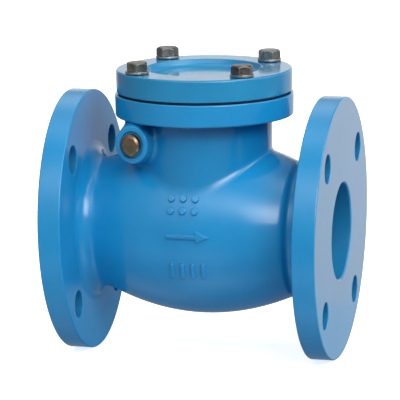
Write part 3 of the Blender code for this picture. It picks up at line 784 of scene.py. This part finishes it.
combine(disc, "DIFFERENCE", bar("cross", 1.5, -STEM_R - 4, STEM_R + 4,
                                at=(split_x, 0, 0), steps=32))
smooth(disc)
facing = smooth(tube("lapped_facing", FACING_R_OUT, FACING_R_IN, disc_x0,
                     disc_x0 + FACING_T, "X", steps=128, edge=0.4))
disc_washer = smooth(tube("stem_washer", DISC_WASHER_R, STEM_R + GAP,
                          washer_x0, washer_x0 + WASHER_T, "X", steps=72,
                          edge=0.35))
nut = prism("hex_nut", NUT_AF, nut_x0, nut_x0 + NUT_H, "X")
combine(nut, "INTERSECT", lathe("crown", rounded([
    (0, nut_x0 + NUT_H - 0.02, 0), (8.7, nut_x0 + NUT_H - 0.02, 0.4),
    (11.4, nut_x0 + NUT_H - 1.6, 0), (11.4, nut_x0 + 1.6, 0),
    (8.7, nut_x0 + 0.02, 0.4), (0, nut_x0 + 0.02, 0)], 3), "X", steps=72))
combine(nut, "DIFFERENCE", lathe("bore", [
    (0, nut_x0 + NUT_H + 4), (STEM_R + 5, nut_x0 + NUT_H + 4),
    (STEM_R + GAP + 0.6, nut_x0 + NUT_H), (STEM_R + GAP, nut_x0 + NUT_H - 0.6),
    (STEM_R + GAP, nut_x0 + 0.6), (STEM_R + GAP + 0.6, nut_x0),
    (STEM_R + 5, nut_x0 - 4), (0, nut_x0 - 4)], "X", steps=48))
soften(nut, 0.2, 2, 25)
smooth(nut, 28)


def split_pin_path():
    s = 0.62
    pts = []
    for i in range(9):
        a = math.radians(78) * (1 - i / 8)
        pts.append((s + 2.6 - 2.6 * math.cos(a),
                    -STEM_R - 1.6 - 2.6 * math.sin(a)))
    pts.insert(0, (pts[0][0] + 3.0, pts[0][1] - 0.4))
    pts.append((s, STEM_R + 1.0))
    for i in range(25):
        a = math.radians(-50 + 280 * i / 24)
        pts.append((2.0 * math.cos(a), STEM_R + 3.6 + 2.0 * math.sin(a)))
    pts.append((-s, STEM_R + 1.0))
    for i in range(9):
        a = math.radians(78) * (i / 8)
        pts.append((-s - 2.6 + 2.6 * math.cos(a),
                    -STEM_R - 1.6 - 2.6 * math.sin(a)))
    pts.append((pts[-1][0] - 3.0, pts[-1][1] - 0.4))
    return pts


curve = bpy.data.curves.new("cotter_wire", "CURVE")
curve.dimensions = "3D"
curve.bevel_depth = PIN_WIRE_R * MM
curve.bevel_resolution = 4
curve.use_fill_caps = True
path = split_pin_path()
spline = curve.splines.new("POLY")
spline.points.add(len(path) - 1)
for point, (y, z) in zip(spline.points, path):
    point.co = (split_x * MM, y * MM, z * MM, 1)
wire = bpy.data.objects.new("wire_form", curve)
valve.objects.link(wire)
mesh = bpy.data.meshes.new_from_object(
    wire.evaluated_get(bpy.context.evaluated_depsgraph_get()))
bpy.data.objects.remove(wire, do_unlink=True)
bm = bmesh.new()
bm.from_mesh(mesh)
bmesh.ops.remove_doubles(bm, verts=bm.verts, dist=0.00001)
bmesh.ops.recalc_face_normals(bm, faces=bm.faces)
bm.to_mesh(mesh)
bm.free()
cotter = bpy.data.objects.new("cotter_pin", mesh)
valve.objects.link(cotter)
smooth(cotter, 40)

# --------------------------------------------------------------------- seat
seat = smooth(lathe("turned_seat", rounded([
    (SEAT_R_IN, SEAT_FACE_X, 0.9), (SEAT_R_OUT, SEAT_FACE_X, 0.6),
    (SEAT_R_OUT, SEAT_FACE_X - SEAT_LEN, 0.4),
    (SEAT_R_IN, SEAT_FACE_X - SEAT_LEN, 0.5)], 4, True), "X", steps=144,
    closed=True))


# ---------------------------------------------------------------- materials
class Nodes:
    """Small helper round a material's node tree."""

    def __init__(self, name):
        self.mat = bpy.data.materials.new(name)
        self.mat.use_nodes = True
        self.tree = self.mat.node_tree
        self.bsdf = self.tree.nodes["Principled BSDF"]
        self.coord = self.tree.nodes.new("ShaderNodeTexCoord").outputs["Object"]

    def link(self, a, b):
        self.tree.links.new(a, b)

    def noise(self, scale, detail=3.0, rough=0.55, distort=0.0, stretch=None):
        n = self.tree.nodes.new("ShaderNodeTexNoise")
        n.inputs["Scale"].default_value = scale
        n.inputs["Detail"].default_value = detail
        n.inputs["Roughness"].default_value = rough
        n.inputs["Distortion"].default_value = distort
        src = self.coord
        if stretch:
            m = self.tree.nodes.new("ShaderNodeMapping")
            m.inputs["Scale"].default_value = stretch
            self.link(src, m.inputs["Vector"])
            src = m.outputs["Vector"]
        self.link(src, n.inputs["Vector"])
        return n.outputs["Fac"]

    def spread(self, value, lo, hi, out_lo, out_hi):
        n = self.tree.nodes.new("ShaderNodeMapRange")
        n.inputs["From Min"].default_value = lo
        n.inputs["From Max"].default_value = hi
        n.inputs["To Min"].default_value = out_lo
        n.inputs["To Max"].default_value = out_hi
        self.link(value, n.inputs["Value"])
        return n.outputs["Result"]

    def mix(self, fac, a, b, blend="MIX"):
        n = self.tree.nodes.new("ShaderNodeMix")
        n.data_type = "RGBA"
        n.blend_type = blend
        for socket, v in ((n.inputs["Factor"], fac), (n.inputs["A"], a),
                          (n.inputs["B"], b)):
            pass
        fac_in = [s for s in n.inputs if s.name == "Factor"][0]
        a_in = [s for s in n.inputs if s.name == "A" and s.type == "RGBA"][0]
        b_in = [s for s in n.inputs if s.name == "B" and s.type == "RGBA"][0]
        for socket, v in ((fac_in, fac), (a_in, a), (b_in, b)):
            if isinstance(v, (int, float)):
                socket.default_value = v
            elif isinstance(v, tuple):
                socket.default_value = (*v, 1.0)
            else:
                self.link(v, socket)
        return [s for s in n.outputs if s.type == "RGBA"][0]

    def math(self, op, a, b=0.0):
        n = self.tree.nodes.new("ShaderNodeMath")
        n.operation = op
        for socket, v in ((n.inputs[0], a), (n.inputs[1], b)):
            if isinstance(v, (int, float)):
                socket.default_value = v
            else:
                self.link(v, socket)
        return n.outputs[0]

    def edges(self, radius, lo=0.02, hi=0.35):
        """1 along edges, 0 on plain faces."""
        b = self.tree.nodes.new("ShaderNodeBevel")
        b.samples = 6
        b.inputs["Radius"].default_value = radius
        g = self.tree.nodes.new("ShaderNodeNewGeometry")
        d = self.tree.nodes.new("ShaderNodeVectorMath")
        d.operation = "DOT_PRODUCT"
        self.link(b.outputs["Normal"], d.inputs[0])
        self.link(g.outputs["Normal"], d.inputs[1])
        return self.spread(self.math("SUBTRACT", 1.0, d.outputs["Value"]),
                           lo, hi, 0.0, 1.0)

    def hollow(self, distance):
        """1 in creases, 0 on open faces."""
        n = self.tree.nodes.new("ShaderNodeAmbientOcclusion")
        n.samples = 6
        n.inputs["Distance"].default_value = distance
        return self.math("SUBTRACT", 1.0, n.outputs["AO"])

    def bump(self, layers):
        """layers: (height, strength, distance) from coarse to fine."""
        normal = None
        for height, strength, distance in layers:
            b = self.tree.nodes.new("ShaderNodeBump")
            b.inputs["Strength"].default_value = strength
            b.inputs["Distance"].default_value = distance
            self.link(height, b.inputs["Height"])
            if normal is not None:
                self.link(normal, b.inputs["Normal"])
            normal = b.outputs["Normal"]
        self.link(normal, self.bsdf.inputs["Normal"])

    def done(self, colour, rough, metal=0.0, **extra):
        for name, v in (("Base Color", colour), ("Roughness", rough),
                        ("Metallic", metal), *extra.items()):
            socket = self.bsdf.inputs[name]
            if isinstance(v, (int, float)):
                socket.default_value = v
            elif isinstance(v, tuple):
                socket.default_value = (*v, 1.0)
            else:
                self.link(v, socket)
        return self.mat


def enamel(name, tone=(1.0, 1.0, 1.0)):
    """Glossy blue enamel over sand-cast iron, thicker on machined faces."""
    n = Nodes(name)
    axes = n.tree.nodes.new("ShaderNodeSeparateXYZ")
    n.link(n.coord, axes.inputs[0])
    out = n.math("ABSOLUTE", axes.outputs["X"])
    machined = n.spread(out, 0.1076, 0.10785, 0, 1)
    behind = n.math("MULTIPLY", n.spread(out, 0.0885, 0.0893, 0, 1),
                    n.spread(out, 0.0903, 0.0912, 1, 0))
    low = n.math("MULTIPLY", behind,
                 n.spread(axes.outputs["Z"], -0.065, 0.03, 1, 0))
    cloud = n.noise(22, 3, 0.5)
    speck = n.noise(420, 2, 0.5)
    colour = n.mix(n.spread(cloud, 0.3, 0.7, 0, 1), (0.009, 0.258, 0.565),
                   (0.014, 0.305, 0.635))
    colour = n.mix(n.spread(speck, 0.62, 0.72, 0.0, 0.35), colour,
                   (0.008, 0.215, 0.500))
    # painted shade: darker in creases and tight corners
    colour = n.mix(n.spread(n.hollow(0.009), 0.30, 0.95, 0.0, 0.72), colour,
                   (0.002, 0.110, 0.330))
    # lighter along every edge: partly thinner paint there, partly a painted highlight
    colour = n.mix(n.math("MULTIPLY", n.edges(0.0011), 0.6), colour,
                   (0.080, 0.440, 0.760))
    # painted shade: deeper dark in wider creases and recesses
    colour = n.mix(n.spread(n.hollow(0.030), 0.40, 0.90, 0.0, 0.50), colour,
                   (0.002, 0.085, 0.210))
    # painted shade: the neck darker all round, and a painted shadow right under its flange
    flat = n.tree.nodes.new("ShaderNodeVectorMath")
    flat.operation = "MULTIPLY"
    flat.inputs[1].default_value = (1, 1, 0)
    n.link(n.coord, flat.inputs[0])
    reach = n.tree.nodes.new("ShaderNodeVectorMath")
    reach.operation = "LENGTH"
    n.link(flat.outputs["Vector"], reach.inputs[0])
    neck = n.math("MULTIPLY", n.spread(reach.outputs["Value"], 0.0514, 0.0532,
                                       1, 0),
                  n.spread(axes.outputs["Z"], 0.020, 0.030, 0, 1))
    painted_flange_shadow = n.math("MULTIPLY", n.spread(reach.outputs["Value"], 0.055, 0.060,
                                        1, 0),
                   n.spread(axes.outputs["Z"], 0.064, 0.0752, 0, 0.55))
    body = n.spread(axes.outputs["Z"], 0.0758, 0.0762, 1, 0)
    neck = n.math("MULTIPLY", neck, n.math("MULTIPLY", body, 0.20))
    # painted shade on the neck, then the painted shadow below the flange
    colour = n.mix(neck, colour, (0.002, 0.100, 0.230))
    colour = n.mix(n.math("MULTIPLY", painted_flange_shadow, body), colour,
                   (0.001, 0.060, 0.190))
    # rougher paint inside the pipe bore and the flange holes, with painted shade darkening
    # them
    round_holes = []
    for centre, reach_2, start in ((0.0494, 0.000100, 0.0902),
                                   (0.0, 0.00112, -1.0)):
        dy, dz = (n.math("SUBTRACT", n.math("ABSOLUTE", axes.outputs[k]),
                         centre) for k in ("Y", "Z"))
        far = n.math("ADD", n.math("MULTIPLY", dy, dy),
                     n.math("MULTIPLY", dz, dz))
        round_holes.append(n.math(
            "MULTIPLY", n.spread(far, reach_2 * 0.95, reach_2, 1, 0),
            n.spread(out, start, start + 0.0004, 0, 1)))
    bore_dull_and_shade = n.math("MULTIPLY", n.math("MAXIMUM", *round_holes),
                    n.spread(out, 0.1068, 0.1074, 1, 0))
    # painted shade inside the bore and the holes
    colour = n.mix(n.math("MULTIPLY", bore_dull_and_shade, 0.35), colour,
                   (0.010, 0.085, 0.170))
    colour = n.mix(1.0, colour, tone, "MULTIPLY")
    rough = n.spread(n.noise(90, 4, 0.6), 0.3, 0.7, 0.11, 0.19)
    rough = n.math("ADD", rough, n.math("MULTIPLY", behind, 0.22))
    rough = n.math("ADD", rough, n.math("MULTIPLY", bore_dull_and_shade, 0.25))
    coat = n.math("ADD", 0.30, n.math("MULTIPLY", machined, 0.70))
    coat = n.math("SUBTRACT", coat, n.math("MULTIPLY", low, 0.30))
    shine = n.math("SUBTRACT", 0.5, n.math("MULTIPLY", low, 0.36))
    grain = n.math("SUBTRACT", 1.0, n.math("MULTIPLY", machined, 0.8))
    n.bump([(n.math("MULTIPLY", n.noise(26, 2, 0.5), grain), 0.30, 0.0010),
            (n.math("MULTIPLY", n.noise(150, 3, 0.5), grain), 0.12, 0.0004),
            (n.math("MULTIPLY", n.noise(700, 2, 0.5), grain), 0.04, 0.0002)])
    return n.done(colour, rough, 0.0, **{"Specular IOR Level": shine,
                                         "Coat Weight": coat,
                                         "Coat Roughness": 0.05})


def passivated(name, dark, light, edge, seed):
    """Zinc-plated fastener steel gone dull and brownish."""
    n = Nodes(name)
    patch = n.noise(160 + seed, 4, 0.6, 0.4)
    fine = n.noise(900, 3, 0.6)
    colour = n.mix(n.spread(patch, 0.35, 0.65, 0, 1), dark, light)
    colour = n.mix(n.spread(fine, 0.45, 0.75, 0, 0.5), colour,
                   tuple(c * 0.6 for c in dark))
    # lighter along the edges: partly worn plating, partly a painted highlight
    edge_wear_and_glint = n.edges(0.0009, 0.01, 0.16)
    colour = n.mix(edge_wear_and_glint, colour, edge)
    # painted shade in the crevices
    colour = n.mix(n.spread(n.hollow(0.0025), 0.25, 0.9, 0.0, 0.8), colour,
                   tuple(c * 0.25 for c in dark))
    rough = n.spread(n.noise(300, 4, 0.6), 0.3, 0.7, 0.24, 0.42)
    n.bump([(n.noise(500, 4, 0.6), 0.18, 0.0002)])
    return n.done(colour, rough, 1.0)


def turned_metal(name, dark, light, edge, axis, rough=(0.25, 0.42), tint=None):
    """Machined metal with fine rings round the given axis."""
    n = Nodes(name)
    stretch = {"X": (1, 0.04, 0.04), "Y": (0.04, 1, 0.04),
               "Z": (0.04, 0.04, 1), "N": (1, 1, 1)}[axis]
    lines = n.noise(2600 if axis != "N" else 800, 2, 0.5, 0, stretch)
    patch = n.noise(120, 4, 0.6, 0.3)
    colour = n.mix(n.spread(patch, 0.3, 0.7, 0, 1), dark, light)
    if tint:
        colour = n.mix(n.spread(n.noise(70, 3, 0.6, 0.6), 0.5, 0.68, 0, 0.75),
                       colour, tint)
    colour = n.mix(n.edges(0.0006, 0.02, 0.3), colour, edge)
    r = n.spread(n.noise(260, 3, 0.6), 0.3, 0.7, *rough)
    n.bump([(lines, 0.12, 0.0002), (n.noise(1200, 2, 0.5), 0.06, 0.0001)])
    return n.done(colour, r, 1.0)


def raw_iron(name, dark, light):
    """Sand-cast iron with its skin on."""
    n = Nodes(name)
    patch = n.noise(60, 4, 0.6, 0.3)
    grain = n.noise(600, 4, 0.65)
    colour = n.mix(n.spread(patch, 0.3, 0.7, 0, 1), dark, light)
    colour = n.mix(n.spread(n.noise(90, 4, 0.7, 0.8), 0.58, 0.7, 0, 0.5),
                   colour, (0.16, 0.075, 0.035))
    colour = n.mix(n.edges(0.0009, 0.02, 0.3), colour, (0.30, 0.29, 0.27))
    n.bump([(n.noise(110, 3, 0.6), 0.35, 0.0006), (grain, 0.5, 0.0003)])
    return n.done(colour, n.spread(grain, 0.3, 0.7, 0.45, 0.7), 0.7)


def fibre(name):
    n = Nodes(name)
    f = n.noise(900, 4, 0.7, 0, (1, 1, 0.2))
    colour = n.mix(n.spread(f, 0.3, 0.7, 0, 1), (0.010, 0.013, 0.018),
                   (0.030, 0.038, 0.048))
    n.bump([(f, 0.5, 0.0003)])
    return n.done(colour, n.spread(f, 0.3, 0.7, 0.8, 0.95), 0.0)


blue_body = enamel("blue_enamel_body")
blue_cover = enamel("blue_enamel_cover", (1.2, 0.92, 0.84))
bolt_mats = [passivated(f"dull_bolt_{k}", dark, light, (0.86, 0.83, 0.78),
                        23 * k)
             for k, (dark, light) in enumerate((
                 ((0.22, 0.215, 0.205), (0.44, 0.43, 0.41)),
                 ((0.16, 0.15, 0.14), (0.38, 0.36, 0.33)),
                 ((0.16, 0.155, 0.12), (0.33, 0.32, 0.26)),
                 ((0.11, 0.095, 0.088), (0.26, 0.215, 0.195))), 1)]
washer_mat = passivated("dull_washer", (0.30, 0.29, 0.27), (0.55, 0.54, 0.51),
                        (0.88, 0.87, 0.84), 7)
# the near-white edge colour on the plug's rim is a painted highlight
brass_mat = turned_metal("oxidised_brass", (0.27, 0.165, 0.10),
                         (0.40, 0.26, 0.17), (0.92, 0.88, 0.84), "N",
                         (0.20, 0.34), (0.17, 0.18, 0.11))
bronze = turned_metal("turned_bronze", (0.52, 0.31, 0.13), (0.66, 0.43, 0.20),
                      (0.86, 0.66, 0.40), "X", (0.22, 0.36))
bronze_y = turned_metal("bush_bronze_fine", (0.52, 0.31, 0.13),
                        (0.66, 0.43, 0.20), (0.86, 0.66, 0.40), "Y",
                        (0.25, 0.40))
nut_mat = turned_metal("nut_bronze_fine", (0.48, 0.29, 0.12),
                       (0.62, 0.40, 0.19), (0.88, 0.70, 0.44), "N",
                       (0.28, 0.42))
stainless = turned_metal("ground_stainless", (0.50, 0.50, 0.49),
                         (0.62, 0.62, 0.61), (0.85, 0.85, 0.84), "Y",
                         (0.18, 0.30))
stainless_n = turned_metal("satin_stainless", (0.48, 0.48, 0.47),
                           (0.62, 0.62, 0.61), (0.85, 0.85, 0.84), "N",
                           (0.26, 0.40))
arm_mat = raw_iron("arm_iron_skin", (0.060, 0.056, 0.052),
                   (0.115, 0.108, 0.100))
disc_mat = raw_iron("disc_iron_skin", (0.085, 0.080, 0.075),
                    (0.160, 0.152, 0.142))
fibre_mat = fibre("fibre_sheet")


def place(obj, mat, body, slot, *nodes):
    """Lifts a piece from the pipe axis into the frame and rides it."""
    obj.location.z = AXIS_HEIGHT * MM
    obj.data.materials.clear()
    obj.data.materials.append(mat)
    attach(obj, body)
    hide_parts(*nodes)


place(core, blue_body, "valve_body", "body_enamel", "body")
place(cover, blue_cover, "valve_body", "cover_enamel", "cover")
place(gasket, fibre_mat, "valve_body", "gasket_fibre", "cover_gasket")
for k in range(4):
    place(bolts[k], bolt_mats[k], "valve_body", "bolt_steel",
          f"cover_bolt_{k + 1}")
    place(washers[k], washer_mat, "valve_body", "washer_steel",
          f"cover_washer_{k + 1}")
place(seat, bronze, "valve_body", "seat_bronze", "seat_ring")
for name in ("front", "back"):
    place(bushes[name], bronze_y, "valve_body", "bush_bronze",
          f"hinge_bush_{name}")
    place(plugs[name], brass_mat, "valve_body", "plug_brass",
          f"pin_plug_{name}")
place(pin, stainless, "pin", "pin_stainless", "hinge_pin")
place(arm, arm_mat, "arm", "arm_iron", "hinge_arm")
place(disc, disc_mat, "disc_assembly", "disc_iron", "disc")
place(facing, bronze, "disc_assembly", "facing_bronze", "disc_facing_ring")
place(disc_washer, stainless_n, "disc_assembly", "disc_washer_steel",
      "disc_washer")
place(nut, nut_mat, "disc_assembly", "nut_bronze", "disc_nut")
place(cotter, stainless_n, "disc_assembly", "split_pin_steel",
      "disc_split_pin")

# ------------------------------------------------------------ floor and light
floor_mesh = bpy.data.meshes.new("floor")
bm = bmesh.new()
bmesh.ops.create_circle(bm, cap_ends=True, segments=96, radius=9.0)
for v in bm.verts:
    v.co.z = -0.0002
bm.to_mesh(floor_mesh)
bm.free()
floor = bpy.data.objects.new("floor", floor_mesh)
scene.collection.objects.link(floor)
n = Nodes("pale_floor")
tone = n.mix(n.spread(n.noise(3, 3, 0.5), 0.3, 0.7, 0, 1), (0.93, 0.93, 0.93),
             (0.95, 0.95, 0.95))
floor_mesh.materials.append(n.done(tone, 0.75, 0.0,
                                   **{"Specular IOR Level": 0.0,
                                      "Emission Color": (1, 1, 1),
                                      "Emission Strength": 0.74}))
# the lights below the floor's level stand for light that a white table throws
# back up, so the floor neither blocks them nor adds its own
floor.visible_diffuse = False
floor.visible_glossy = False
floor.visible_transmission = False
floor.visible_shadow = False
floor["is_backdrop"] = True

world = bpy.data.worlds.new("studio")
scene.world = world
world.use_nodes = True
wt = world.node_tree
back = wt.nodes["Background"]
coord = wt.nodes.new("ShaderNodeTexCoord")


def aim(azimuth, elevation):
    """Direction from the valve; azimuth from the front, positive to +X."""
    a, e = math.radians(azimuth), math.radians(elevation)
    return Vector((math.sin(a) * math.cos(e), -math.cos(a) * math.cos(e),
                   math.sin(e)))


def world_dot(vec):
    d = wt.nodes.new("ShaderNodeVectorMath")
    d.operation = "DOT_PRODUCT"
    d.inputs[1].default_value = vec
    wt.links.new(coord.outputs["Generated"], d.inputs[0])
    return d.outputs["Value"]


def world_math(op, *values):
    m = wt.nodes.new("ShaderNodeMath")
    m.operation = op
    for socket, v in zip(m.inputs, values):
        if isinstance(v, (int, float)):
            socket.default_value = v
        else:
            wt.links.new(v, socket)
    return m.outputs[0]


def ramp(value, lo, hi, a=0.0, b=1.0):
    m = wt.nodes.new("ShaderNodeMapRange")
    m.interpolation_type = "SMOOTHSTEP"
    for key, v in (("From Min", lo), ("From Max", hi), ("To Min", a),
                   ("To Max", b)):
        m.inputs[key].default_value = v
    wt.links.new(value, m.inputs["Value"])
    return m.outputs["Result"]


def glow(azimuth, elevation, strength, tight=24.0):
    """A round lamp with a soft edge."""
    d = world_math("MULTIPLY_ADD", world_dot(aim(azimuth, elevation)), tight,
                   -tight)
    return world_math("MULTIPLY", world_math("EXPONENT", d), strength)


def panel(azimuth, elevation, strength, left, right, low, high):
    """A flat panel; each side is a pair of tangents that it fades between."""
    ahead = aim(azimuth, elevation)
    side = ahead.cross(Vector((0, 0, 1))).normalized() * -1
    if side.dot(aim(azimuth + 90, 0)) < 0:
        side = -side
    up = Vector((0, 0, 1)) - ahead * ahead.z
    up.normalize()
    f = world_dot(ahead)
    near = world_math("MAXIMUM", f, 0.02)
    u = world_math("DIVIDE", world_dot(side), near)
    v = world_math("DIVIDE", world_dot(up), near)
    w = world_math("MULTIPLY", ramp(u, *left), ramp(u, *right, 1.0, 0.0))
    w = world_math("MULTIPLY", w, ramp(v, *low))
    w = world_math("MULTIPLY", w, ramp(v, *high, 1.0, 0.0))
    w = world_math("MULTIPLY", w, ramp(f, 0.03, 0.2))
    return world_math("MULTIPLY", w, strength)


LAMPS = (
    # azimuth, elevation, strength
    (46, 31, 3.3), (111, 20, 1.4), (86, 54, 3.5), (14, 38, 1.7),
    (76, -35, 0.9), (-19, 44, 1.3), (-116, 77, 0.95), (-172, -5, 0.2),
    (-156, 43, 0.8), (-9, -32, 0.55), (-17, -67, 0.65), (-27, 19, 0.3),
    (-42, -26, 0.25), (31, -14, 0.1), (-102, -62, 0.35))
lights = [glow(*lamp) for lamp in LAMPS]
lights.append(panel(36, 30, 3.6, (-0.45, -0.12), (0.20, 0.45),
                    (-0.245, -0.225), (0.0, 0.30)))
lights.append(panel(180, 0, 0.50, (-1.1, -0.6), (0.6, 1.1), (-0.45, 0.0),
                    (0.16, 0.40)))
lights.append(0.22)
total = lights[0]
for light in lights[1:]:
    total = world_math("ADD", total, light)
path_node = wt.nodes.new("ShaderNodeLightPath")
strength = wt.nodes.new("ShaderNodeMix")
strength.data_type = "FLOAT"
floats = [s for s in strength.inputs if s.type == "VALUE"]
wt.links.new(path_node.outputs["Is Camera Ray"], floats[0])
wt.links.new(total, floats[1])
floats[2].default_value = 1.0
wt.links.new([s for s in strength.outputs if s.type == "VALUE"][0],
             back.inputs["Strength"])
tint = wt.nodes.new("ShaderNodeMix")
tint.data_type = "RGBA"
colours = [s for s in tint.inputs if s.type == "RGBA"]
colours[0].default_value = (1, 1, 1, 1)
colours[1].default_value = (0.78, 1.0, 1.2, 1)      # light off the table
below = world_math("MULTIPLY", ramp(world_dot(Vector((0, 0, -1))), 0.197,
                                    0.201),
                   world_math("SUBTRACT", 1.0,
                              path_node.outputs["Is Camera Ray"]))
wt.links.new(below, [s for s in tint.inputs if s.type == "VALUE"][0])
wt.links.new([s for s in tint.outputs if s.type == "RGBA"][0],
             back.inputs["Color"])

# -------------------------------------------------------------------- camera
# The picture it copies is narrower than the real valve, so the camera's own
# axes are set out of square by the same amount.
CAM_AT = Vector((0.587517, -2.078928, 0.382234 + AXIS_HEIGHT * MM))
CAM_RIGHT = Vector((0.960678, 0.277360, -0.013041))
CAM_UP = Vector((-0.157993, 0.604732, 0.780601))
CAM_AHEAD = Vector((-0.270084, 0.948349, -0.166397))
cam_data = bpy.data.cameras.new("camera")
cam_data.sensor_width = 36.0
cam_data.lens = 255.617
cam_data.clip_end = 50.0
cam = bpy.data.objects.new("camera", cam_data)
scene.collection.objects.link(cam)
stand = bpy.data.objects.new("camera_stand", None)
scene.collection.objects.link(stand)
view = Matrix.Identity(4)
for i in range(3):
    view[i][0] = CAM_RIGHT[i]
    view[i][1] = CAM_UP[i]
    view[i][2] = -CAM_AHEAD[i]
    view[i][3] = CAM_AT[i]
cam.parent = stand
cam.matrix_parent_inverse = view
scene.camera = cam

scene.view_settings.view_transform = "Standard"
scene.view_settings.look = "None"

lo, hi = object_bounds()
